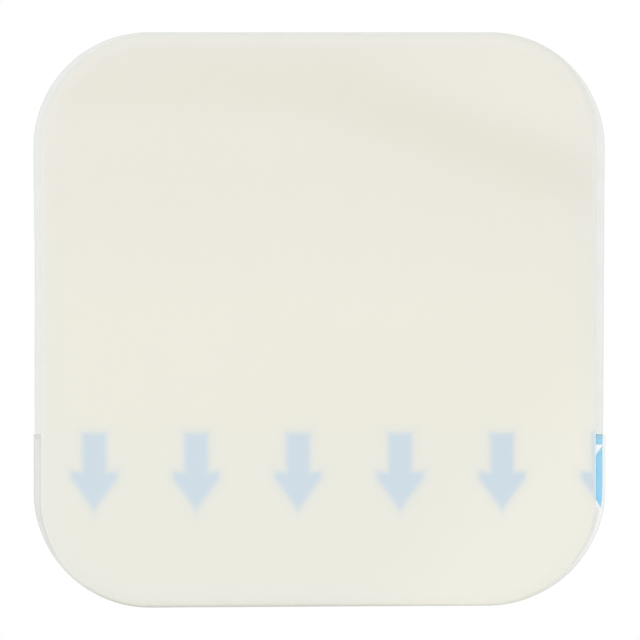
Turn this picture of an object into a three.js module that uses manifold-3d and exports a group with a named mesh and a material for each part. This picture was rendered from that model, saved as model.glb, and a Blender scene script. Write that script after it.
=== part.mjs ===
// A thin square hydrocolloid bandage with rounded corners, lying film side up on its release liner.
// From the top down it is a clear backing film, the hydrocolloid mass with its thinned rim, and a clear
// release liner in two pieces. The short piece, the peel tab, carries a row of printed arrows, and its free
// edge is tucked under the edge of the long piece.
//
// Millimetres, +Z up. The liner's underside rests on z = 0, the origin is the centre of the footprint, and
// the arrows point towards -Y, the way the tab is peeled.
import * as THREE from "three";
import { mergeVertices } from "three/addons/utils/BufferGeometryUtils.js";
import Module from "manifold-3d";

// Footprint of the liner. The bottom was cut slightly askew, so the right side is shorter than the left.
const linerWidth = 100;
const leftSideLength = 100.8;
const rightSideLength = 100.2;
const linerCornerRadius = 20;

// How far the liner shows past the hydrocolloid on each side, and by how much the hydrocolloid's corners are
// rounded tighter than the liner's.
const leftMargin = 1.25;
const rightMargin = 1.65;
const topMargin = 0.3;
const bottomMargin = 0.15;
const tighterTopLeft = 0.4;
const tighterTopRight = 2.4;
const tighterBottomRight = 1;
const tighterBottomLeft = 1.5;

// Thickness of each layer.
const linerThickness = 0.12;
const padThickness = 0.45;
const filmThickness = 0.05;
const inkThickness = 0.03;

// The rim of the hydrocolloid is pressed thin and rises in a quarter ellipse.
const padRimThickness = 0.2;
const rimWidth = 2.2;
const rimSteps = 6;

// The two liner pieces. The long one leans in a little on its right side, and bends up over the tab's edge.
const tabLength = 30.5;
const lapLength = 0.8;
const lapRampLength = 1.2;
const lapClearance = 0.3;
const longLinerLean = 0.4;

// The printed arrows, which run on at one pitch across the web that the liner was cut from.
const arrowPitch = 17.87;
const firstArrowFromLeft = 10.4;
const arrowShaftWidth = 4.1;
const arrowShaftLength = 6.8;
const arrowHeadWidth = 8.4;
const arrowHeadLength = 6.9;

const arcSteps = 10;
const cutOverrun = 1;

// Places that follow from the sizes. The askew bottom is lowest on the rounding of the bottom left corner,
// and the footprint is centred between that point and the top.
const bottomSlant = Math.atan2(leftSideLength - rightSideLength, linerWidth);
const lowestPointLift = linerCornerRadius * (1 / Math.cos(bottomSlant) + Math.tan(bottomSlant) - 1);
const left = -linerWidth / 2;
const right = linerWidth / 2;
const top = (leftSideLength - lowestPointLift) / 2;
const bottomAtLeft = top - leftSideLength;
const bottomAtRight = top - rightSideLength;
const seamY = bottomAtLeft + tabLength;
const longLinerEnd = seamY - lapLength;
const padBottom = linerThickness;
const padRimTop = padBottom + padRimThickness;
const padTop = padBottom + padThickness;
const arrowCount = Math.ceil((linerWidth - firstArrowFromLeft + arrowHeadWidth / 2) / arrowPitch);

const wasm = await Module();
wasm.setup();

const colourOf = (hex) => new THREE.Color(hex);
const materials = {
  film: new THREE.MeshStandardMaterial({
    name: "film",
    color: colourOf(0xf0efe6),
    roughness: 0.35,
    metalness: 0,
    transparent: true,
    opacity: 0.35,
  }),
  hydrocolloid: new THREE.MeshStandardMaterial({
    name: "hydrocolloid",
    color: colourOf(0xebe9dd),
    roughness: 0.55,
    metalness: 0,
  }),
  longLiner: new THREE.MeshStandardMaterial({
    name: "liner",
    color: colourOf(0xebece8),
    roughness: 0.25,
    metalness: 0,
    transparent: true,
    opacity: 0.55,
  }),
  tabLiner: new THREE.MeshStandardMaterial({
    name: "tab_liner",
    color: colourOf(0xe4e6e2),
    roughness: 0.25,
    metalness: 0,
    transparent: true,
    opacity: 0.55,
  }),
  ink: new THREE.MeshStandardMaterial({
    name: "arrow_ink",
    color: colourOf(0x9ad4ef),
    roughness: 0.4,
    metalness: 0,
  }),
};

// A closed geometry as a solid that can be cut and joined.
function solidOf(geometry) {
  const bare = geometry.clone();
  bare.deleteAttribute("normal");
  bare.deleteAttribute("uv");
  const merged = mergeVertices(bare, 1e-4);
  return new wasm.Manifold(
    new wasm.Mesh({
      numProp: 3,
      vertProperties: new Float32Array(merged.attributes.position.array),
      triVerts: new Uint32Array(merged.index.array),
    }),
  );
}

function geometryOf(solid) {
  const mesh = solid.getMesh();
  const geometry = new THREE.BufferGeometry();
  geometry.setAttribute("position", new THREE.BufferAttribute(mesh.vertProperties, 3));
  geometry.setIndex(new THREE.BufferAttribute(mesh.triVerts, 1));
  geometry.computeVertexNormals();
  return geometry;
}

// The rounding of one corner of a four-sided outline: its centre, its radius and the angles where it starts
// and ends. The sides run counter-clockwise, so each side's outward normal is its direction turned clockwise.
function cornerArc(before, corner, after, radius) {
  const sideIn = corner.clone().sub(before).normalize();
  const sideOut = after.clone().sub(corner).normalize();
  const startAngle = Math.atan2(-sideIn.x, sideIn.y);
  const turn = Math.atan2(sideIn.cross(sideOut), sideIn.dot(sideOut));
  const setBack = radius * Math.tan(turn / 2);
  const tangentPoint = corner.clone().addScaledVector(sideIn, -setBack);
  const centre = new THREE.Vector2(
    tangentPoint.x - radius * Math.cos(startAngle),
    tangentPoint.y - radius * Math.sin(startAngle),
  );
  return { centre, radius, startAngle, endAngle: startAngle + turn };
}

// A four-sided outline with rounded corners. The corners are listed counter-clockwise as [x, y, radius].
// An inset moves every side inwards and keeps the centres of the roundings.
function roundedOutline(corners, inset = 0) {
  const shape = new THREE.Shape();
  const points = corners.map(([x, y]) => new THREE.Vector2(x, y));
  corners.forEach(([, , radius], i) => {
    const before = points[(i + 3) % 4];
    const after = points[(i + 1) % 4];
    const arc = cornerArc(before, points[i], after, radius);
    shape.absarc(arc.centre.x, arc.centre.y, arc.radius - inset, arc.startAngle, arc.endAngle, false);
  });
  return shape;
}

function upright(shape, fromZ, toZ) {
  const geometry = new THREE.ExtrudeGeometry(shape, {
    depth: toZ - fromZ,
    bevelEnabled: false,
    curveSegments: arcSteps,
  });
  return geometry.translate(0, 0, fromZ);
}

// A strip right across the bandage, whose section is drawn in the Y-Z plane as [y, z] points.
function acrossX(section) {
  const shape = new THREE.Shape(section.map(([y, z]) => new THREE.Vector2(y, z)));
  const geometry = new THREE.ExtrudeGeometry(shape, {
    depth: linerWidth + 2 * cutOverrun,
    bevelEnabled: false,
  });
  const alongY = new THREE.Vector3(0, 1, 0);
  const alongZ = new THREE.Vector3(0, 0, 1);
  const alongX = new THREE.Vector3(1, 0, 0);
  geometry.applyMatrix4(new THREE.Matrix4().makeBasis(alongY, alongZ, alongX));
  return geometry.translate(left - cutOverrun, 0, 0);
}

// A closed body through a list of outlines of the same corners, each level given as an inset and a height.
function throughLevels(corners, levels) {
  const rings = levels.map(({ inset }) => roundedOutline(corners, inset).getPoints(arcSteps));
  const ringSize = rings[0].length;
  const positions = rings.flatMap((ring, level) =>
    ring.flatMap((point) => [point.x, point.y, levels[level].z]),
  );
  const lastStart = (rings.length - 1) * ringSize;
  const faces = [];
  for (const [a, b, c] of THREE.ShapeUtils.triangulateShape(rings[0], [])) {
    faces.push(c, b, a);
  }
  for (const [a, b, c] of THREE.ShapeUtils.triangulateShape(rings.at(-1), [])) {
    faces.push(lastStart + a, lastStart + b, lastStart + c);
  }
  for (let start = 0; start < lastStart; start += ringSize) {
    for (let i = 0; i < ringSize; i += 1) {
      const next = (i + 1) % ringSize;
      const above = start + ringSize;
      faces.push(start + i, start + next, above + next);
      faces.push(start + i, above + next, above + i);
    }
  }
  const geometry = new THREE.BufferGeometry();
  geometry.setAttribute("position", new THREE.Float32BufferAttribute(positions, 3));
  geometry.setIndex(faces);
  geometry.computeVertexNormals();
  return geometry;
}

// The levels of the thinned rim, from its lowest, outermost line up to the flat of the film.
function rimLevels() {
  return Array.from({ length: rimSteps + 1 }, (_, step) => {
    const angle = (step / rimSteps) * (Math.PI / 2);
    return {
      inset: rimWidth * (1 - Math.cos(angle)),
      z: padRimTop + (padTop - padRimTop) * Math.sin(angle),
    };
  });
}

function linerCorners(lean) {
  return [
    [left, bottomAtLeft, linerCornerRadius],
    [right - lean, bottomAtRight, linerCornerRadius],
    [right, top, linerCornerRadius],
    [left, top, linerCornerRadius],
  ];
}

function padCorners() {
  return [
    [left + leftMargin, bottomAtLeft + bottomMargin, linerCornerRadius - tighterBottomLeft],
    [right - rightMargin, bottomAtRight + bottomMargin, linerCornerRadius - tighterBottomRight],
    [right - rightMargin, top - topMargin, linerCornerRadius - tighterTopRight],
    [left + leftMargin, top - topMargin, linerCornerRadius - tighterTopLeft],
  ];
}

// The long liner piece lies flat, then bends up by its own thickness and lies on the tab's free edge.
function longLinerSolid() {
  const bendTop = seamY + lapClearance;
  const bendFoot = bendTop + lapRampLength;
  const section = [
    [longLinerEnd, linerThickness],
    [bendTop, linerThickness],
    [bendFoot, 0],
    [top + cutOverrun, 0],
    [top + cutOverrun, linerThickness],
    [bendFoot, linerThickness],
    [bendTop, 2 * linerThickness],
    [longLinerEnd, 2 * linerThickness],
  ];
  // The lean is measured at the seam, so it is carried on in proportion to the bottom of the outline.
  const leanAtBottom = (longLinerLean * rightSideLength) / (top - seamY);
  const outline = upright(roundedOutline(linerCorners(leanAtBottom)), -cutOverrun, cutOverrun);
  return solidOf(outline).intersect(solidOf(acrossX(section)));
}

function tabBlankSolid() {
  const section = [
    [bottomAtLeft - cutOverrun, 0],
    [seamY, 0],
    [seamY, linerThickness],
    [bottomAtLeft - cutOverrun, linerThickness],
  ];
  const outline = upright(roundedOutline(linerCorners(0)), -cutOverrun, cutOverrun);
  return solidOf(outline).intersect(solidOf(acrossX(section)));
}

// One arrow from the tab's free edge down to its tip, as a prism that stands through the tab's underside.
function arrowSolid(index) {
  const x = left + firstArrowFromLeft + index * arrowPitch;
  const shoulderY = seamY - arrowShaftLength;
  const shape = new THREE.Shape();
  shape.moveTo(x - arrowShaftWidth / 2, seamY + cutOverrun);
  shape.lineTo(x - arrowShaftWidth / 2, shoulderY);
  shape.lineTo(x - arrowHeadWidth / 2, shoulderY);
  shape.lineTo(x, shoulderY - arrowHeadLength);
  shape.lineTo(x + arrowHeadWidth / 2, shoulderY);
  shape.lineTo(x + arrowShaftWidth / 2, shoulderY);
  shape.lineTo(x + arrowShaftWidth / 2, seamY + cutOverrun);
  return solidOf(upright(shape, -cutOverrun, inkThickness));
}

function padSolid(longLiner) {
  const levels = [{ inset: 0, z: padBottom }, ...rimLevels()];
  return solidOf(throughLevels(padCorners(), levels)).subtract(longLiner);
}

// The film follows the hydrocolloid's upper face and is cut flush with its edge.
function filmGeometry() {
  const underside = rimLevels().reverse();
  const upperFace = rimLevels().map(({ inset, z }) => ({ inset, z: z + filmThickness }));
  return throughLevels(padCorners(), [...underside, ...upperFace]);
}

function named(name, geometry, material) {
  const mesh = new THREE.Mesh(geometry, material);
  mesh.name = name;
  return mesh;
}

function releaseLiner(longLiner) {
  const group = new THREE.Group();
  const blank = tabBlankSolid();
  let tab = blank;
  for (let i = 0; i < arrowCount; i += 1) {
    const arrow = arrowSolid(i);
    const print = blank.intersect(arrow);
    tab = tab.subtract(arrow);
    group.add(named(`arrow_print_${i + 1}`, geometryOf(print), materials.ink));
  }
  group.add(named("release_liner_long", geometryOf(longLiner), materials.longLiner));
  group.add(named("release_liner_tab", geometryOf(tab), materials.tabLiner));
  return group;
}

function dressing(longLiner) {
  const group = new THREE.Group();
  group.add(named("hydrocolloid_layer", geometryOf(padSolid(longLiner)), materials.hydrocolloid));
  group.add(named("backing_film", filmGeometry(), materials.film));
  return group;
}

const longLiner = longLinerSolid();
const bandage = new THREE.Group();
bandage.add(releaseLiner(longLiner), dressing(longLiner));

export default bandage;
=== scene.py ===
"""A thin hydrocolloid bandage on its release liner, seen from straight above on a pale floor.

The pieces are the cream hydrocolloid with its thinned rim, the clear film over it, the two clear liner
pieces under it and the row of printed arrows under the short liner piece. Sizes are in millimetres and
become metres where a mesh is made.
"""

import math

import bpy
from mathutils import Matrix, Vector, noise


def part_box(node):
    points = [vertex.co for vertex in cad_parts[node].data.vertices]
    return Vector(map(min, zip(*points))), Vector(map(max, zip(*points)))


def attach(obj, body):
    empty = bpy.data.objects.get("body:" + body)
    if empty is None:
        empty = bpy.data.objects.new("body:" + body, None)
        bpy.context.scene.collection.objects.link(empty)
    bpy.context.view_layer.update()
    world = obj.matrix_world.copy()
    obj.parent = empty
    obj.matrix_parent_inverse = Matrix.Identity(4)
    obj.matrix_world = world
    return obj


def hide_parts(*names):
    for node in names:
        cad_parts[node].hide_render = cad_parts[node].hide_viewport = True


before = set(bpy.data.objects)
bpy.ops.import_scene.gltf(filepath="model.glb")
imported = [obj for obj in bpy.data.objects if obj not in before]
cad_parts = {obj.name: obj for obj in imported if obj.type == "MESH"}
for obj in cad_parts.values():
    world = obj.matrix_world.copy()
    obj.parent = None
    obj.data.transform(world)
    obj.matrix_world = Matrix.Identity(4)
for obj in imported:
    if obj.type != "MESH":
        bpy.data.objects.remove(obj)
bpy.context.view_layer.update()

MM = 0.001


def box_mm(node):
    """The lowest and highest corners of a CAD node, in millimetres."""
    low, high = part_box(node)
    return [value / MM for value in low], [value / MM for value in high]


# Edges and levels of the CAD model
LONG_LOW, LONG_HIGH = box_mm("release_liner_long")
TAB_LOW, TAB_HIGH = box_mm("release_liner_tab")
PAD_LOW, PAD_HIGH = box_mm("hydrocolloid_layer")
_, FILM_HIGH = box_mm("backing_film")
ARROW_LOW, ARROW_HIGH = box_mm("arrow_print_1")
NEXT_ARROW_LOW, _ = box_mm("arrow_print_2")

LEFT, RIGHT = TAB_LOW[0], TAB_HIGH[0]
TOP, LONG_END = LONG_HIGH[1], LONG_LOW[1]
SEAM = TAB_HIGH[1]
PAD_LEFT, PAD_RIGHT = PAD_LOW[0], PAD_HIGH[0]
PAD_TOP_EDGE = PAD_HIGH[1]
PAD_FLOOR = PAD_LOW[2]
PAD_TOP = PAD_HIGH[2]
FILM_TOP = FILM_HIGH[2]

# The outline: corner roundings, the askew bottom cut, and the long piece's lean, step and bend at the lap
LEFT_SIDE_LENGTH = 100.8
LINER_RADII = {"bottom_left": 20.5, "bottom_right": 20.5, "top_right": 20.0, "top_left": 20.0}
PAD_RADII = {"bottom_left": 18.9, "bottom_right": 19.1, "top_right": 17.6, "top_left": 19.6}
BOTTOM_RISE = 0.6
BOTTOM_LEFT = TOP - LEFT_SIDE_LENGTH
BOTTOM_MARGIN = 0.15
LONG_LEAN = 0.4
LONG_STEP = 0.2
STEP_START, STEP_FULL = 25, 10
BEND_START = SEAM + 0.3
BEND_LENGTH = 1.2
BEND_END = BEND_START + BEND_LENGTH

# The printed arrows
ARROW_PITCH = NEXT_ARROW_LOW[0] - ARROW_LOW[0]
ARROW_HEAD_HALF = (ARROW_HIGH[0] - ARROW_LOW[0]) / 2
FIRST_ARROW = ARROW_LOW[0] + ARROW_HEAD_HALF
ARROW_COUNT = 6
ARROW_SHAFT_HALF = 2.05
ARROW_TIP = ARROW_LOW[1]
ARROW_HEAD_LENGTH = 6.9
ARROW_SHOULDER = ARROW_TIP + ARROW_HEAD_LENGTH

# Small clearances and thicknesses
SKIN_GAP = 0.006
FILM_THICKNESS = FILM_TOP - PAD_TOP - SKIN_GAP
LINER_REST = 0.012
LINER_THICKNESS = 0.1
LAP_GAP = 0.03
INK_DEPTH, INK_THICKNESS = 0.004, 0.005
INK_MARGIN = 0.3

# The rim of the hydrocolloid: an even bevel, with a small round lip along the bottom cut
LIP_WIDTH, LIP_HEIGHT = 0.4, 0.12
LIP_START, LIP_FULL = -44, -49
RIM_WIDTH, RIM_HEIGHT = 2.3, 0.25
WALL_TOP = PAD_TOP - RIM_HEIGHT

# Heights of the hydrocolloid's faint waves
BROAD_WAVE, FINE_WAVE = 0.006, 0.002

# How far the liner's bare margins lift off the floor, and less at the corners
LIFT_MEAN, LIFT_SWING, LIFT_LEAST = 0.11, 0.16, 0.02
LIFT_START, LIFT_RUN = 0.1, 1.4
CORNER_START, CORNER_FULL = 30, 44
CORNER_LOSS = 0.7

# The cut edges waver only along the straight sides
BROAD_WAVER, FINE_WAVER = 0.03, 0.015
WAVER_REACH = 40

ARC_STEPS = 28
SIDE_STEPS = 40
SHARP_ANGLE = 40


def smooth(value, low, high):
    """0 up to low, 1 from high on, and an even S curve between them. High may also be the lesser one."""
    share = min(max((value - low) / (high - low), 0.0), 1.0)
    return share * share * (3 - 2 * share)


def wave(x, y, size, seed):
    """A smooth random height from about -1 to 1, with bumps of the given size."""
    return noise.noise(Vector((x / size, y / size, seed)))


# Meshes


def finish_mesh(name, points, faces):
    """A smooth-shaded piece from points in millimetres."""
    mesh = bpy.data.meshes.new(name)
    mesh.from_pydata([(x * MM, y * MM, z * MM) for x, y, z in points], [], faces)
    mesh.validate()
    mesh.update()
    mesh.shade_smooth()
    mesh.set_sharp_from_angle(angle=math.radians(SHARP_ANGLE))
    piece = bpy.data.objects.new(name, mesh)
    bpy.context.collection.objects.link(piece)
    return piece


def slab(name, rows, thickness):
    """A closed thin sheet over rows of underside points, every row with as many points."""
    columns = len(rows[0])
    underside = [point for row in rows for point in row]
    upper = [(x, y, z + thickness) for x, y, z in underside]
    count = len(underside)
    faces = []
    for row in range(len(rows) - 1):
        for column in range(columns - 1):
            a = row * columns + column
            b, c, d = a + 1, a + columns + 1, a + columns
            faces.append((a, d, c, b))
            faces.append((a + count, b + count, c + count, d + count))
    last = len(rows) - 1
    loop = list(range(columns))
    loop += [row * columns + columns - 1 for row in range(1, len(rows))]
    loop += [last * columns + column for column in range(columns - 2, -1, -1)]
    loop += [row * columns for row in range(last - 1, 0, -1)]
    for here, there in zip(loop, loop[1:] + loop[:1]):
        faces.append((here, there, there + count, here + count))
    return finish_mesh(name, underside + upper, faces)


def corner_arcs(corners):
    """Centre, radius, start angle and turn of each rounded corner of a counter-clockwise outline."""
    arcs = []
    for i, (x, y, radius) in enumerate(corners):
        before, corner, after = (
            Vector(corners[(i + step) % len(corners)][:2]) for step in (-1, 0, 1)
        )
        way_in = (corner - before).normalized()
        way_out = (after - corner).normalized()
        start = math.atan2(-way_in.x, way_in.y)
        turn = math.atan2(way_in.x * way_out.y - way_in.y * way_out.x, way_in.dot(way_out))
        tangent = corner - way_in * radius * math.tan(turn / 2)
        centre = tangent - Vector((math.cos(start), math.sin(start))) * radius
        arcs.append((centre, radius, start, turn))
    return arcs


def outline_ring(arcs, inset):
    """The outline moved in by inset, as evenly made points along each rounding and each side."""
    bends = []
    for centre, radius, start, turn in arcs:
        angles = [start + turn * step / ARC_STEPS for step in range(ARC_STEPS + 1)]
        bends.append([centre + Vector((math.cos(a), math.sin(a))) * (radius - inset) for a in angles])
    ring = []
    for bend, following in zip(bends, bends[1:] + bends[:1]):
        ring += bend
        ring += [bend[-1].lerp(following[0], step / SIDE_STEPS) for step in range(1, SIDE_STEPS)]
    return ring


def pad_arcs():
    """The corner arcs of the hydrocolloid and of the film over it."""
    bottom = BOTTOM_LEFT + BOTTOM_MARGIN
    return corner_arcs(
        [
            (PAD_LEFT, bottom, PAD_RADII["bottom_left"]),
            (PAD_RIGHT, bottom + BOTTOM_RISE, PAD_RADII["bottom_right"]),
            (PAD_RIGHT, PAD_TOP_EDGE, PAD_RADII["top_right"]),
            (PAD_LEFT, PAD_TOP_EDGE, PAD_RADII["top_left"]),
        ]
    )


def rim_height(inset, y):
    """Height of the hydrocolloid's upper face at a distance in from its edge."""
    lip = LIP_HEIGHT * smooth(y, LIP_START, LIP_FULL)
    lip_share = min(inset / LIP_WIDTH, 1.0)
    rim_share = min(inset / RIM_WIDTH, 1.0)
    round_rise = math.sqrt(1 - (1 - lip_share) ** 2)
    even_rise = 1 - (1 - rim_share) ** 2
    return WALL_TOP + lip * round_rise + (RIM_HEIGHT - lip) * even_rise


LIP_INSETS = [0, 0.02, 0.05, 0.1, 0.15, 0.21, 0.3, 0.4]
RIM_INSETS = LIP_INSETS + [0.6, 0.8, 1.0, 1.3, 1.6, 2.0, 2.3, 2.6, 3.2, 4, 5, 6.5, 8, 10, 12, 14]
INNER_SHARES = [1 - step / 16 for step in range(1, 16)]


def upper_rings(arcs, lift):
    """Rings over the upper face of the hydrocolloid, from its edge to near its middle."""
    rings = []
    for inset in RIM_INSETS:
        rings.append([(p.x, p.y, inset) for p in outline_ring(arcs, inset)])
    last = rings[-1]
    for share in INNER_SHARES:
        rings.append([(x * share, y * share, RIM_WIDTH) for x, y, _ in last])

    def height(x, y, inset):
        return rim_height(inset, y) + lift + unevenness(x, y) * smooth(inset, 0, RIM_WIDTH)

    return [[(x, y, height(x, y, inset)) for x, y, inset in ring] for ring in rings]


def unevenness(x, y):
    """The hydrocolloid's faint waves, always downwards so that the film's top stays at its level."""
    broad = BROAD_WAVE * wave(x, y, 24, 3.1)
    fine = FINE_WAVE * wave(x, y, 7, 8.4)
    return broad + fine - BROAD_WAVE - FINE_WAVE


def ring_body(name, rings):
    """A closed body through rings of as many points each, capped by a fan at both ends."""
    size = len(rings[0])
    points = [point for ring in rings for point in ring]
    faces = []
    for start in range(0, size * (len(rings) - 1), size):
        for i in range(size):
            following = (i + 1) % size
            faces.append((start + i, start + following, start + size + following, start + size + i))
    for ring, start, turned in ((rings[0], 0, True), (rings[-1], size * (len(rings) - 1), False)):
        middle = [sum(point[axis] for point in ring) / size for axis in range(3)]
        points.append(tuple(middle))
        hub = len(points) - 1
        for i in range(size):
            following = (i + 1) % size
            a, b = start + i, start + following
            faces.append((b, a, hub) if turned else (a, b, hub))
    return finish_mesh(name, points, faces)


def make_hydrocolloid():
    upper = upper_rings(pad_arcs(), 0)
    foot = [(x, y, PAD_FLOOR + SKIN_GAP) for x, y, _ in upper[0]]
    piece = ring_body("hydrocolloid", [foot] + upper)
    carve_lap(piece)
    return piece


CUTTER_THICKNESS, CUTTER_OVERRUN = 1.0, 1.0


def carve_lap(piece):
    """Cuts the shallow groove that the liner's lap presses into the hydrocolloid's flat underside."""
    steps = [LONG_END - SKIN_GAP, BEND_START] + [BEND_START + BEND_LENGTH * i / 8 for i in range(1, 9)]
    rows = []
    for y in reversed(steps):
        z = LINER_REST + LINER_THICKNESS + lap_height(max(y, LONG_END)) + SKIN_GAP - CUTTER_THICKNESS
        rows.append([(x, y, z) for x in (RIGHT + CUTTER_OVERRUN, LEFT - CUTTER_OVERRUN)])
    cutter = slab("lap_cutter", rows, CUTTER_THICKNESS)
    cut = piece.modifiers.new("lap", "BOOLEAN")
    cut.operation = "DIFFERENCE"
    cut.solver = "EXACT"
    cut.object = cutter
    made = bpy.data.meshes.new_from_object(piece.evaluated_get(bpy.context.evaluated_depsgraph_get()))
    for face in made.polygons:
        if face.normal.z < -0.5:
            face.use_smooth = False
    piece.modifiers.clear()
    piece.data = made
    bpy.data.objects.remove(cutter)


def make_film():
    arcs = pad_arcs()
    under = upper_rings(arcs, SKIN_GAP)
    upper = upper_rings(arcs, SKIN_GAP + FILM_THICKNESS)
    return ring_body("clear_film", list(reversed(under)) + upper)


def lap_height(y):
    """How far the long liner stands up where it lies over the tab's free edge."""
    if y < LONG_END:
        return 0.0
    return (LINER_THICKNESS + LAP_GAP) * (1 - smooth(y, BEND_START, BEND_END))


def liner_arcs():
    """The corner arcs of the outlines that the long liner piece and the tab are parts of."""
    lean = LONG_LEAN * (TOP - BOTTOM_LEFT) / (TOP - SEAM)
    corners_long = [
        (LEFT, BOTTOM_LEFT, LINER_RADII["bottom_left"]),
        (RIGHT - lean, BOTTOM_LEFT + BOTTOM_RISE, LINER_RADII["bottom_right"]),
        (RIGHT, TOP, LINER_RADII["top_right"]),
        (LEFT, TOP, LINER_RADII["top_left"]),
    ]
    bottom_right_tab = (RIGHT, BOTTOM_LEFT, LINER_RADII["bottom_right"])
    corners_tab = [corners_long[0], bottom_right_tab] + corners_long[2:]
    return corner_arcs(corners_long), corner_arcs(corners_tab)


def edge_waver(y, seed):
    """The cut edge of a soft film never runs quite straight."""
    if abs(y) >= WAVER_REACH:
        return 0.0
    return BROAD_WAVER * wave(0, y, 9, seed) + FINE_WAVER * wave(0, y, 2.5, seed + 4)


def across(y, left_arc, right_arc, left_side, right_side):
    """Where the outline's left and right edges are at y, given the roundings that may reach it."""

    def edge(arc, side, sign):
        centre, radius, _, _ = arc
        beyond = y - centre.y if centre.y > 0 else centre.y - y
        if beyond <= 0:
            return side
        return centre.x + sign * math.sqrt(max(radius**2 - beyond**2, 0.0))

    return edge(left_arc, left_side, -1), edge(right_arc, right_side, 1)


def margin_lift(x, y):
    """The liner's bare margins lift a little off the floor, more in some places than others."""
    left_out = PAD_LEFT - LIFT_START - x
    right_out = x - PAD_RIGHT - LIFT_START
    outside = max(left_out, right_out, 0.0)
    side_seed = 2.0 if right_out > left_out else 6.0
    amount = max(LIFT_MEAN + LIFT_SWING * wave(0, y, 11, side_seed), LIFT_LEAST)
    along = 1 - CORNER_LOSS * smooth(abs(y), CORNER_START, CORNER_FULL)
    return amount * along * smooth(outside, 0.0, LIFT_RUN)


COLUMN_STEPS = 70
ROW_STEP = 0.8
EDGE_COLUMNS = [0, 0.12, 0.3, 0.55, 0.85, 1.2, 1.6, 2.1, 2.8]


def spread(low, high):
    """Places from low to high, closer together near both ends."""
    span = high - low
    scale = min(span / (4 * EDGE_COLUMNS[-1]), 1.0)
    near = [low + scale * step for step in EDGE_COLUMNS]
    far = [high - scale * step for step in reversed(EDGE_COLUMNS)]
    inner_low, inner_high = near[-1], far[0]
    middle = [inner_low + (inner_high - inner_low) * i / COLUMN_STEPS for i in range(1, COLUMN_STEPS)]
    return near + middle + far


def rounded_rows(start, middle, stop):
    """Rows from the end of a rounding to the seam: even steps of angle round it, then even steps along."""
    reach = abs(start - middle)
    sign = 1 if middle > start else -1
    angles = [1, 2, 3.5, 5, 7, *range(10, 90, 3)]
    bend = [middle - sign * reach * math.cos(math.radians(angle)) for angle in angles]
    count = int(abs(stop - middle) / ROW_STEP)
    return bend + [middle + (stop - middle) * i / count for i in range(count)]


def make_long_liner():
    arcs, _ = liner_arcs()
    top_right, top_left = arcs[2], arcs[3]
    ys = rounded_rows(TOP, top_left[0].y, BEND_END)
    ys += [BEND_START + BEND_LENGTH * (1 - i / 12) for i in range(12)]
    ys += [BEND_START + (LONG_END - BEND_START) * i / 6 for i in range(7)]
    rows = []
    for y in ys:
        right_side = RIGHT - LONG_LEAN * (TOP - y) / (TOP - SEAM)
        low, high = across(y, top_left, top_right, LEFT, right_side)
        low += LONG_STEP * smooth(y, STEP_START, STEP_FULL) + edge_waver(y, 1.0)
        high += edge_waver(y, 5.0)
        columns = reversed(spread(low, high))
        rows.append([(x, y, LINER_REST + lap_height(y) + margin_lift(x, y)) for x in columns])
    return slab("clear_liner_long", rows, LINER_THICKNESS)


def tab_row(y):
    """Where the tab's left and right edges are at y."""
    _, arcs = liner_arcs()
    low, high = across(y, arcs[0], arcs[1], LEFT, RIGHT)
    return low + max(edge_waver(y, 1.6), 0.0), high


def tab_shear(x, y):
    """The askew bottom cut: the bottom rises towards the right."""
    return BOTTOM_RISE * (x - LEFT) / (RIGHT - LEFT) * smooth(SEAM - y, 0, SEAM - BOTTOM_LEFT)


def tab_point(x, y, lift=0.0):
    """A point of the tab's underside, or one that lies lift above it."""
    return (x, y + tab_shear(x, y), LINER_REST + lift + margin_lift(x, y))


def make_tab_liner():
    _, arcs = liner_arcs()
    ys = rounded_rows(BOTTOM_LEFT, arcs[0][0].y, SEAM) + [SEAM]
    rows = [[tab_point(x, y) for x in spread(*tab_row(y))] for y in ys]
    return slab("clear_liner_tab", rows, LINER_THICKNESS)


ARROW_COLUMNS = 24
SHAFT_ROWS, HEAD_ROWS = 16, 24
SHOULDER_STEP = 0.005
NARROWEST_ROW = 0.04


def make_arrow(index):
    """One printed arrow just within the underside of the tab, cut off a little before the tab ends."""
    middle = FIRST_ARROW + index * ARROW_PITCH
    shaft = [SEAM + (ARROW_SHOULDER - SEAM) * i / SHAFT_ROWS for i in range(SHAFT_ROWS + 1)]
    head_start = ARROW_SHOULDER - SHOULDER_STEP
    head = [head_start - ARROW_HEAD_LENGTH * i / HEAD_ROWS for i in range(HEAD_ROWS)]
    rows = []
    for y in shaft + head:
        if y >= ARROW_SHOULDER:
            half = ARROW_SHAFT_HALF
        else:
            half = ARROW_HEAD_HALF * (y - ARROW_TIP) / ARROW_HEAD_LENGTH
        _, tab_end = tab_row(y)
        low, high = middle - half, min(middle + half, tab_end - INK_MARGIN)
        if high - low < NARROWEST_ROW:
            break
        xs = [low + (high - low) * i / ARROW_COLUMNS for i in range(ARROW_COLUMNS + 1)]
        rows.append([tab_point(x, y - tab_shear(x, y), INK_DEPTH) for x in reversed(xs)])
    return slab(f"printed_arrow_{index + 1}", rows, INK_THICKNESS)


# Materials


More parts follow.
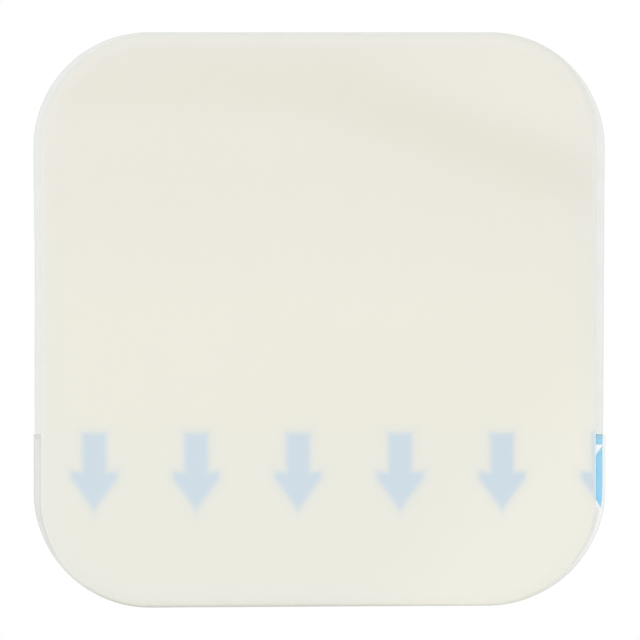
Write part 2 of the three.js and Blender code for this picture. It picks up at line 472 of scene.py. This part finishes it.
class Nodes:
    """Short calls for building one material's node tree."""

    def __init__(self, name):
        self.material = bpy.data.materials.new(name)
        self.material.use_nodes = True
        self.tree = self.material.node_tree
        self.tree.nodes.clear()
        self.output = self.tree.nodes.new("ShaderNodeOutputMaterial")
        self.place = self.new("ShaderNodeNewGeometry").outputs["Position"]

    def new(self, kind, **settings):
        node = self.tree.nodes.new(kind)
        for key, value in settings.items():
            setattr(node, key, value)
        return node

    def link(self, value, socket):
        if isinstance(value, bpy.types.NodeSocket):
            self.tree.links.new(value, socket)
        else:
            socket.default_value = value

    def math(self, operation, *values):
        node = self.new("ShaderNodeMath", operation=operation)
        for value, socket in zip(values, node.inputs):
            self.link(value, socket)
        return node.outputs[0]

    def ramp(self, value, low, high, to_low=0.0, to_high=1.0):
        """Goes smoothly from to_low at low to to_high at high."""
        node = self.new("ShaderNodeMapRange", interpolation_type="SMOOTHSTEP")
        for item, socket in zip((value, low, high, to_low, to_high), node.inputs):
            self.link(item, socket)
        return node.outputs[0]

    def axes(self):
        """X and Y of the surface point in millimetres."""
        node = self.new("ShaderNodeSeparateXYZ")
        self.link(self.place, node.inputs[0])
        return [self.math("MULTIPLY", node.outputs[axis], 1 / MM) for axis in (0, 1)]

    def inside(self, left, right, bottom_left, top, radii):
        """Distance in from a rounded outline with the askew bottom cut, below 0 outside it."""
        x, y = self.axes()
        share = self.math("MULTIPLY", self.math("SUBTRACT", x, LEFT), BOTTOM_RISE / (RIGHT - LEFT))
        lower = self.ramp(x, -1, 1, radii["bottom_left"], radii["bottom_right"])
        upper = self.ramp(x, -1, 1, radii["top_left"], radii["top_right"])
        radius = self.ramp(y, -1, 1, lower, upper)
        out_x = self.math("MAXIMUM", self.math("SUBTRACT", x, right), self.math("SUBTRACT", left, x))
        bottom = self.math("ADD", share, bottom_left)
        out_y = self.math("MAXIMUM", self.math("SUBTRACT", y, top), self.math("SUBTRACT", bottom, y))
        reach_x = self.math("MAXIMUM", self.math("ADD", out_x, radius), 0)
        reach_y = self.math("MAXIMUM", self.math("ADD", out_y, radius), 0)
        squares = self.math("ADD", self.math("POWER", reach_x, 2), self.math("POWER", reach_y, 2))
        return self.math("SUBTRACT", radius, self.math("SQRT", squares))

    def inside_pad(self):
        return self.inside(PAD_LEFT, PAD_RIGHT, BOTTOM_LEFT + BOTTOM_MARGIN, PAD_TOP_EDGE, PAD_RADII)

    def noise(self, size, detail, roughness=0.5):
        """Soft random values from 0 to 1, with spots of the given size in millimetres."""
        node = self.new("ShaderNodeTexNoise")
        self.link(self.place, node.inputs["Vector"])
        node.inputs["Scale"].default_value = 1 / (size * MM)
        node.inputs["Detail"].default_value = detail
        node.inputs["Roughness"].default_value = roughness
        return node.outputs["Fac"]

    def mix(self, factor, first, second):
        node = self.new("ShaderNodeMix", data_type="RGBA", clamp_factor=True)
        self.link(factor, node.inputs["Factor"])
        colours = [socket for socket in node.inputs if socket.type == "RGBA"]
        self.link(first, colours[0])
        self.link(second, colours[1])
        return next(socket for socket in node.outputs if socket.type == "RGBA")

    def bump(self, height, distance):
        """A fine relief in the surface, as deep as the distance in millimetres."""
        node = self.new("ShaderNodeBump")
        self.link(height, node.inputs["Height"])
        node.inputs["Distance"].default_value = distance * MM
        node.inputs["Strength"].default_value = 1.0
        return node.outputs["Normal"]

    def principled(self, colour, roughness, normal=None, **plain):
        node = self.new("ShaderNodeBsdfPrincipled")
        self.link(colour, node.inputs["Base Color"])
        self.link(roughness, node.inputs["Roughness"])
        if normal is not None:
            self.link(normal, node.inputs["Normal"])
        for name, value in plain.items():
            node.inputs[name.replace("_", " ")].default_value = value
        return node.outputs["BSDF"]

    def see_through(self, shader, cover, tint):
        """The shader over as much of the surface as cover says, and clear film in the rest."""
        clear = self.new("ShaderNodeBsdfTransparent")
        self.link(tint, clear.inputs["Color"])
        node = self.new("ShaderNodeMixShader")
        self.link(cover, node.inputs[0])
        self.link(clear.outputs[0], node.inputs[1])
        self.link(shader, node.inputs[2])
        return node.outputs[0]

    def finish(self, shader):
        self.link(shader, self.output.inputs["Surface"])
        return self.material


def srgb(red, green, blue):
    """A colour given as screen values from 0 to 255, as the linear values that shaders take."""

    def linear(value):
        share = value / 255
        return share / 12.92 if share <= 0.04045 else ((share + 0.055) / 1.055) ** 2.4

    return (linear(red), linear(green), linear(blue), 1.0)


# The arrows as they show through the hydrocolloid lie a little off the print, with blunt heads and a halo
GHOST_PITCH = 17.82
GHOST_SHIFT_X, GHOST_SHIFT_Y = 0.22, 0.2
GHOST_HEAD_HALF, GHOST_BLUNT = 4.8, 4.0
GHOST_TIP = ARROW_TIP + 0.2
GHOST_OVERLAP = 1.5
GHOST_SOFTNESS = 0.75
HALO_OUT, HALO_IN, HALO_SHARE = 2.6, 1.0, 0.25
GHOST_BLUE = srgb(204, 219.5, 231.5)
GHOST_LIT_EDGE = srgb(222, 241, 252)


def arrow_mask(nodes, x, y):
    """1 over the arrows as they show through the hydrocolloid, with soft sides."""
    from_first = nodes.math("SUBTRACT", x, FIRST_ARROW + GHOST_SHIFT_X - GHOST_PITCH / 2)
    cell = nodes.math("FLOORED_MODULO", from_first, GHOST_PITCH)
    side = nodes.math("ABSOLUTE", nodes.math("SUBTRACT", cell, GHOST_PITCH / 2))
    y = nodes.math("SUBTRACT", y, GHOST_SHIFT_Y)
    shaft = nodes.math("SUBTRACT", ARROW_SHAFT_HALF, side)
    shaft = nodes.math("MINIMUM", shaft, nodes.math("SUBTRACT", y, ARROW_SHOULDER - GHOST_OVERLAP))
    slope = GHOST_HEAD_HALF / (ARROW_SHOULDER - GHOST_TIP)
    reach = nodes.math("MULTIPLY", nodes.math("SUBTRACT", y, GHOST_TIP), slope)
    head = nodes.math("MULTIPLY", nodes.math("SUBTRACT", reach, side), 1 / math.hypot(1, slope))
    head = nodes.math("MINIMUM", head, nodes.math("SUBTRACT", ARROW_SHOULDER, y))
    head = nodes.math("MINIMUM", head, nodes.math("SUBTRACT", GHOST_BLUNT, side))
    inside = nodes.math("MINIMUM", nodes.math("MAXIMUM", shaft, head), nodes.math("SUBTRACT", SEAM, y))
    core = nodes.ramp(inside, -GHOST_SOFTNESS, GHOST_SOFTNESS, 0.0, 1 - HALO_SHARE)
    return nodes.math("ADD", core, nodes.ramp(inside, -HALO_OUT, HALO_IN, 0.0, HALO_SHARE))


# The hydrocolloid's colours, all of them creams that differ a little
CREAM_UPPER = srgb(234.2, 230.8, 221.4)
CREAM_LOWER = srgb(237, 235.2, 224.3)
CREAM_UPPER_LEFT = srgb(231.6, 228, 218)
CREAM_UPPER_RIGHT = srgb(237, 233, 223.4)
# painted shade: the faint darker band across the upper part
CREAM_IN_SHADE_BAND = srgb(230.2, 226.2, 216)
CREAM_ON_TAB = srgb(235.6, 235.2, 226.4)
CREAM_LOWER_RIGHT = srgb(243.2, 241.2, 229.8)
CREAM_CLOUD = srgb(228, 225, 210)
CREAM_SPECK = srgb(222, 219, 205)
RIM_GREY = srgb(232, 232.5, 229)
THIN_RIM_SIDE = srgb(236, 236, 231)
THIN_RIM_TOP = srgb(226, 227, 221)
THIN_RIM_BOTTOM = srgb(230, 229, 218)
# painted shade: a darker line along the hydrocolloid's edge
EDGE_SHADE_LINE = srgb(209, 211, 202)

# A faint band of painted shade across the upper part, level on the left and slanting down on the right
BAND_Y, BAND_REACH = 40.0, 9.0
BAND_BEND_X, BAND_SLOPE = 2, 0.36

# The lighter lower right lies beyond a slanting line
CORNER_LINE_Y, CORNER_LINE_SLOPE = -40, 0.9

# How far in from the edge the rim's tones and its line of painted shade reach
WIDE_RIM, THIN_RIM, SHADE_LINE_WIDTH = 6, 1.5, 0.5


def cream_tones(nodes, x, y):
    """The hydrocolloid's broad tones, from a duller top with a band of painted shade to the part over the
    tab.
    """
    cream = nodes.mix(nodes.ramp(y, 27, 0), CREAM_UPPER, CREAM_LOWER)
    past_bend = nodes.math("MAXIMUM", nodes.math("SUBTRACT", x, BAND_BEND_X), 0)
    slant = nodes.math("MULTIPLY", past_bend, BAND_SLOPE)
    above = nodes.math("SUBTRACT", nodes.math("ADD", y, slant), BAND_Y)
    dull_left = nodes.math("MULTIPLY", nodes.ramp(above, -7, 1), nodes.ramp(x, 40, -15))
    cream = nodes.mix(dull_left, cream, CREAM_UPPER_LEFT)
    light_right = nodes.math("MULTIPLY", nodes.ramp(above, 3, 12), nodes.ramp(x, 0, 45))
    cream = nodes.mix(light_right, cream, CREAM_UPPER_RIGHT)
    # painted shade: a faint darker band across the upper part, level on the left and slanting down on the
    # right
    band = nodes.ramp(nodes.math("ABSOLUTE", above), 0, BAND_REACH, 0.85, 0.0)
    band = nodes.math("MULTIPLY", band, nodes.ramp(x, -20, 10))
    cream = nodes.mix(band, cream, CREAM_IN_SHADE_BAND)
    on_tab = nodes.ramp(y, SEAM - 0.2, SEAM + 0.5, 1.0, 0.0)
    return nodes.mix(on_tab, cream, CREAM_ON_TAB)


def lighter_corner(nodes, x, y, cream):
    """The lower right is lighter, right up to its edge."""
    line_x = nodes.math("MULTIPLY", nodes.math("SUBTRACT", y, CORNER_LINE_Y), CORNER_LINE_SLOPE)
    past_line = nodes.math("SUBTRACT", x, line_x)
    return nodes.mix(nodes.ramp(past_line, 6, 34, 0.0, 0.65), cream, CREAM_LOWER_RIGHT)


def rim_tones(nodes, y, inset, cream):
    """The rim is greyer where the mass thins out, and a thin line of painted shade runs round the edge,
    faint at the sides and strongest along the bottom.
    """
    cream = nodes.mix(nodes.ramp(inset, 0, WIDE_RIM, 0.45, 0.0), cream, RIM_GREY)
    thin = nodes.mix(nodes.ramp(y, 30, 46), THIN_RIM_SIDE, THIN_RIM_TOP)
    thin = nodes.mix(nodes.ramp(y, LIP_START, LIP_FULL), thin, THIN_RIM_BOTTOM)
    cream = nodes.mix(nodes.ramp(inset, 0, THIN_RIM, 0.75, 0.0), cream, thin)
    # painted shade: a thin darker line close to the edge, faint at the sides and strongest along the
    # bottom
    at_top = nodes.ramp(y, 25, 45, 0.05, 0.2)
    at_bottom = nodes.ramp(y, -45, -49, 0.0, 0.9)
    strength = nodes.math("MAXIMUM", at_top, at_bottom)
    line = nodes.math("MULTIPLY", nodes.ramp(inset, 0.05, SHADE_LINE_WIDTH, 1.0, 0.0), strength)
    return nodes.mix(line, cream, EDGE_SHADE_LINE)


def hydrocolloid_material():
    """Matt cream gel with faint clouds and specks, and the printed arrows showing softly through it."""
    nodes = Nodes("hydrocolloid_gel")
    x, y = nodes.axes()
    cream = cream_tones(nodes, x, y)
    cloud = nodes.ramp(nodes.noise(30, 2.0), 0.3, 0.7, 0.0, 0.06)
    cream = nodes.mix(cloud, cream, CREAM_CLOUD)
    speck = nodes.ramp(nodes.noise(0.8, 3.0), 0.35, 0.65, 0.0, 0.04)
    cream = nodes.mix(speck, cream, CREAM_SPECK)
    inset = nodes.inside_pad()
    cream = lighter_corner(nodes, x, y, rim_tones(nodes, y, inset, cream))
    ghost = arrow_mask(nodes, x, y)
    shown = nodes.mix(ghost, cream, GHOST_BLUE)
    lit_edge = nodes.math("MULTIPLY", ghost, nodes.ramp(inset, 0.1, 0.4, 0.9, 0.0))
    shown = nodes.mix(lit_edge, shown, GHOST_LIT_EDGE)
    grain = nodes.bump(nodes.noise(0.5, 4.0, 0.6), 0.004)
    rough = nodes.ramp(nodes.noise(6, 3.0), 0.3, 0.7, 0.5, 0.6)
    return nodes.finish(nodes.principled(shown, rough, grain, IOR=1.42))


def film_material():
    """All but clear film that gives the face its satin sheen."""
    nodes = Nodes("clear_satin_film")
    grain = nodes.bump(nodes.noise(0.35, 3.0, 0.6), 0.003)
    rough = nodes.ramp(nodes.noise(9, 3.0), 0.3, 0.7, 0.32, 0.42)
    satin = nodes.principled(srgb(244, 243, 236), rough, grain, IOR=1.47)
    return nodes.finish(nodes.see_through(satin, 0.06, (0.998, 0.998, 0.996, 1)))


# A small painted glint, a white wedge in the bare corner of the tab
GLINT_TOP, GLINT_FOOT = -21.6, -23.9
GLINT_RIGHT = 49.9


def glint(nodes, x, y):
    """1 in a small wedge, level above and slanting below."""
    below_top = nodes.ramp(nodes.math("SUBTRACT", GLINT_TOP, y), 0.0, 0.35)
    slope = (GLINT_TOP - GLINT_FOOT) / (GLINT_RIGHT - PAD_RIGHT)
    rise = nodes.math("MULTIPLY", nodes.math("SUBTRACT", x, PAD_RIGHT), slope)
    foot = nodes.math("ADD", rise, GLINT_FOOT)
    above_foot = nodes.ramp(nodes.math("SUBTRACT", y, foot), -0.2, 0.5)
    at_right = nodes.ramp(x, 47, 48)
    return nodes.math("MULTIPLY", nodes.math("MULTIPLY", below_top, above_foot), at_right)


# The liner's grey haze, which also serves as its painted shade, the white of its painted glint and
# highlight lines, and the slight tints of its clear parts
LONG_HAZE_AND_SHADE = srgb(203, 206, 197)
TAB_HAZE_AND_SHADE = srgb(203, 204, 197)
LIT_FILM = srgb(254, 255, 255)
CLEAR = (1, 1, 1, 1)
LONG_TINT = (0.96, 0.966, 0.96, 1)
TAB_TINT = (0.976, 0.98, 0.97, 1)


def liner_film(nodes, grey_haze_and_shade, cover, tint, from_edge, line, light):
    """Clear film with a thin painted shade along its cut edge, a painted highlight line beside it and
    painted white highlight where light says.
    """
    # painted shade: the film is greyer along its cut edge
    cut_edge_shade = nodes.ramp(from_edge, 0.06, 0.16, 0.14, 0.0)
    # painted highlight: a white line just inside the cut edge
    line_start = nodes.ramp(from_edge, 0.15, 0.28)
    line_end = nodes.ramp(from_edge, 0.4, 0.62, 1.0, 0.0)
    beside = nodes.math("MULTIPLY", line_start, line_end)
    light = nodes.math("MAXIMUM", nodes.math("MULTIPLY", beside, line), light)
    colour = nodes.mix(nodes.math("MULTIPLY", light, 1.6), grey_haze_and_shade, LIT_FILM)
    scuff = nodes.bump(nodes.noise(1.6, 2.0), 0.004)
    rough = nodes.ramp(nodes.noise(4, 3.0), 0.3, 0.7, 0.14, 0.26)
    film = nodes.principled(colour, rough, scuff, IOR=1.5)
    haze = nodes.math("MULTIPLY", nodes.ramp(nodes.noise(5, 2.0), 0.3, 0.7, 0.85, 1.15), cover)
    haze = nodes.math("MAXIMUM", nodes.math("ADD", haze, cut_edge_shade), nodes.math("MULTIPLY", light, 0.92))
    return nodes.finish(nodes.see_through(film, haze, tint))


def bare_share(nodes, past_pad):
    """1 on a liner's bare margin and 0 where it lies on the hydrocolloid, which clears its haze."""
    return nodes.ramp(past_pad, 0.1, 0.9, 1.0, 0.0)


def long_liner_material():
    """The long piece is all but invisible where it laps over the tab, but for two thin lines of painted
    highlight.
    """
    nodes = Nodes("clear_liner")
    x, y = nodes.axes()
    lean = nodes.math("MULTIPLY", nodes.math("SUBTRACT", TOP, y), LONG_LEAN / (TOP - SEAM))
    step = nodes.ramp(y, STEP_FULL, STEP_START, LONG_STEP, 0.0)
    left, right = nodes.math("ADD", step, LEFT), nodes.math("SUBTRACT", RIGHT, lean)
    from_edge = nodes.inside(left, right, BOTTOM_LEFT, TOP, LINER_RADII)
    off_lap = nodes.ramp(y, SEAM - 0.05, SEAM + 0.1)
    tint = nodes.mix(off_lap, CLEAR, LONG_TINT)
    from_seam = nodes.math("ABSOLUTE", nodes.math("SUBTRACT", y, SEAM))
    # painted highlights: thin white lines along the seam and along the long piece's end
    seam_highlight = nodes.ramp(from_seam, 0.05, 0.25, 0.3, 0.0)
    from_end = nodes.math("ABSOLUTE", nodes.math("SUBTRACT", y, LONG_END + 0.15))
    end_highlight = nodes.ramp(from_end, 0.05, 0.2, 0.12, 0.0)
    haze = nodes.math("MULTIPLY", bare_share(nodes, nodes.inside_pad()), 0.09)
    cover = nodes.ramp(y, SEAM - 0.05, SEAM + 0.1, 0.02, nodes.math("ADD", haze, 0.05))
    line = nodes.ramp(x, -20, 20, 0.3, 0.12)
    light = nodes.math("MAXIMUM", seam_highlight, end_highlight)
    return liner_film(nodes, LONG_HAZE_AND_SHADE, cover, tint, from_edge, line, light)


def tab_liner_material():
    """The tab's bare rim is greyer at the left than in the free corner, and close to the pad it carries
    painted contact shadow and adhesive bleed.
    """
    nodes = Nodes("clear_tab_liner")
    x, y = nodes.axes()
    from_edge = nodes.inside(LEFT, RIGHT, BOTTOM_LEFT, TOP, LINER_RADII)
    greyer_left = nodes.ramp(x, LEFT + 2, LEFT + 9, 0.2, 0.0)
    below_arrow = nodes.ramp(y, ARROW_TIP, ARROW_TIP + 2, 0.18, 0.0)
    past_pad = nodes.inside_pad()
    # painted shadow together with adhesive bleed, on the bare rim just outside the pad below the arrow
    # tips
    shadow_and_bleed_near_pad = nodes.math("MULTIPLY", nodes.ramp(past_pad, -0.95, -0.6), below_arrow)
    # painted contact shadow: a thin grey line along the pad's edge on the left
    contact_shadow = nodes.math("MULTIPLY", nodes.ramp(past_pad, -0.35, -0.1, 0.0, 0.4), greyer_left)
    haze = nodes.math("ADD", nodes.math("MAXIMUM", greyer_left, shadow_and_bleed_near_pad), contact_shadow)
    cover = nodes.math("ADD", nodes.math("MULTIPLY", haze, bare_share(nodes, past_pad)), 0.05)
    line = nodes.math("MULTIPLY", nodes.ramp(x, -20, 20, 0.0, 0.9), nodes.ramp(y, -42, -32, 0.3, 1.0))
    return liner_film(nodes, TAB_HAZE_AND_SHADE, cover, TAB_TINT, from_edge, line, glint(nodes, x, y))


def ink_material():
    """Pale blue ink with slight patches."""
    nodes = Nodes("pale_blue_ink")
    patch = nodes.ramp(nodes.noise(1.2, 3.0), 0.3, 0.7)
    colour = nodes.mix(patch, srgb(148, 216, 250), srgb(156, 222, 253))
    return nodes.finish(nodes.principled(colour, 0.4, nodes.bump(patch, 0.002), IOR=1.45))


# Stage, in metres

FLOOR_SIZE = 4.0
WHITE = (1, 1, 1, 1)
FLOOR_GLOW = 0.96
SOFT_LIGHT = 0.8
KEY_PLACE, KEY_SIZE, KEY_POWER = (-0.8, 1.8, 3.0), 1.8, 37.0

# The camera looks straight down, and the picture is as much wider than the liner as the photograph is
PICTURE_PIXELS, LINER_PIXELS = 640, 571.2
VIEW_WIDTH = PICTURE_PIXELS / LINER_PIXELS * (RIGHT - LEFT) * MM
LENS, SENSOR = 100.0, 36.0
CAMERA_PLACE = (0.0001, 0.0, VIEW_WIDTH * LENS / SENSOR)


def white_to_the_eye(tree, strength=1.0):
    """Strength where the camera, a mirror or clear film looks, and 0 for light that falls on things."""
    path = tree.nodes.new("ShaderNodeLightPath")
    seen = path.outputs["Is Camera Ray"]
    for ray in ("Is Glossy Ray", "Is Transmission Ray"):
        either = tree.nodes.new("ShaderNodeMath")
        either.operation = "MAXIMUM"
        tree.links.new(seen, either.inputs[0])
        tree.links.new(path.outputs[ray], either.inputs[1])
        seen = either.outputs[0]
    scaled = tree.nodes.new("ShaderNodeMath")
    scaled.operation = "MULTIPLY"
    tree.links.new(seen, scaled.inputs[0])
    scaled.inputs[1].default_value = strength
    return scaled.outputs[0]


def mix_shaders(tree, factor, first, second, output):
    """Blends two shader nodes into the surface of an output node."""
    mix = tree.nodes.new("ShaderNodeMixShader")
    tree.links.new(factor, mix.inputs[0])
    tree.links.new(first.outputs[0], mix.inputs[1])
    tree.links.new(second.outputs[0], mix.inputs[2])
    tree.links.new(mix.outputs[0], output.inputs["Surface"])


def make_floor():
    """A matt white floor that shows the object's shadow and is white to the eye."""
    half = FLOOR_SIZE / 2
    corners = [(-half, -half, 0), (half, -half, 0), (half, half, 0), (-half, half, 0)]
    mesh = bpy.data.meshes.new("floor")
    mesh.from_pydata(corners, [], [(0, 1, 2, 3)])
    floor = bpy.data.objects.new("floor", mesh)
    bpy.context.collection.objects.link(floor)
    material = bpy.data.materials.new("pale_floor")
    material.use_nodes = True
    tree = material.node_tree
    tree.nodes.clear()
    output = tree.nodes.new("ShaderNodeOutputMaterial")
    matt = tree.nodes.new("ShaderNodeBsdfDiffuse")
    matt.inputs["Color"].default_value = WHITE
    glow = tree.nodes.new("ShaderNodeEmission")
    glow.inputs["Strength"].default_value = 1.0
    mix_shaders(tree, white_to_the_eye(tree, FLOOR_GLOW), matt, glow, output)
    mesh.materials.append(material)


def make_world():
    """Soft white light from all round, and a white background."""
    world = bpy.data.worlds.new("studio")
    bpy.context.scene.world = world
    world.use_nodes = True
    tree = world.node_tree
    tree.nodes.clear()
    output = tree.nodes.new("ShaderNodeOutputWorld")
    soft = tree.nodes.new("ShaderNodeBackground")
    soft.inputs["Strength"].default_value = SOFT_LIGHT
    white = tree.nodes.new("ShaderNodeBackground")
    white.inputs["Strength"].default_value = 1.0
    for background in (soft, white):
        background.inputs["Color"].default_value = WHITE
    mix_shaders(tree, white_to_the_eye(tree), soft, white, output)


def make_key_lamp():
    """A broad lamp up behind the top left, aimed at the middle of the object."""
    light = bpy.data.lights.new("key", "AREA")
    light.size = KEY_SIZE
    light.energy = KEY_POWER
    lamp = bpy.data.objects.new("key", light)
    lamp.location = KEY_PLACE
    lamp.rotation_euler = (-Vector(KEY_PLACE)).to_track_quat("-Z", "Y").to_euler()
    bpy.context.collection.objects.link(lamp)


def make_camera():
    camera = bpy.data.cameras.new("camera")
    camera.lens = LENS
    camera.sensor_width = SENSOR
    camera.clip_start = 0.01
    eye = bpy.data.objects.new("camera", camera)
    eye.location = CAMERA_PLACE
    bpy.context.collection.objects.link(eye)
    bpy.context.scene.camera = eye


def dress(piece, material, slot, *nodes):
    """Gives a piece its material and lets it stand for CAD nodes. The slot is not used."""
    piece.data.materials.append(material)
    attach(piece, "root")
    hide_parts(*nodes)


make_camera()
make_world()
make_floor()
make_key_lamp()

dress(make_hydrocolloid(), hydrocolloid_material(), "hydrocolloid", "hydrocolloid_layer")
dress(make_film(), film_material(), "film", "backing_film")
dress(make_long_liner(), long_liner_material(), "liner", "release_liner_long")
dress(make_tab_liner(), tab_liner_material(), "tab_liner", "release_liner_tab")
ink = ink_material()
for index in range(ARROW_COUNT):
    dress(make_arrow(index), ink, "arrow_ink", f"arrow_print_{index + 1}")

bpy.context.scene.view_settings.view_transform = "Standard"
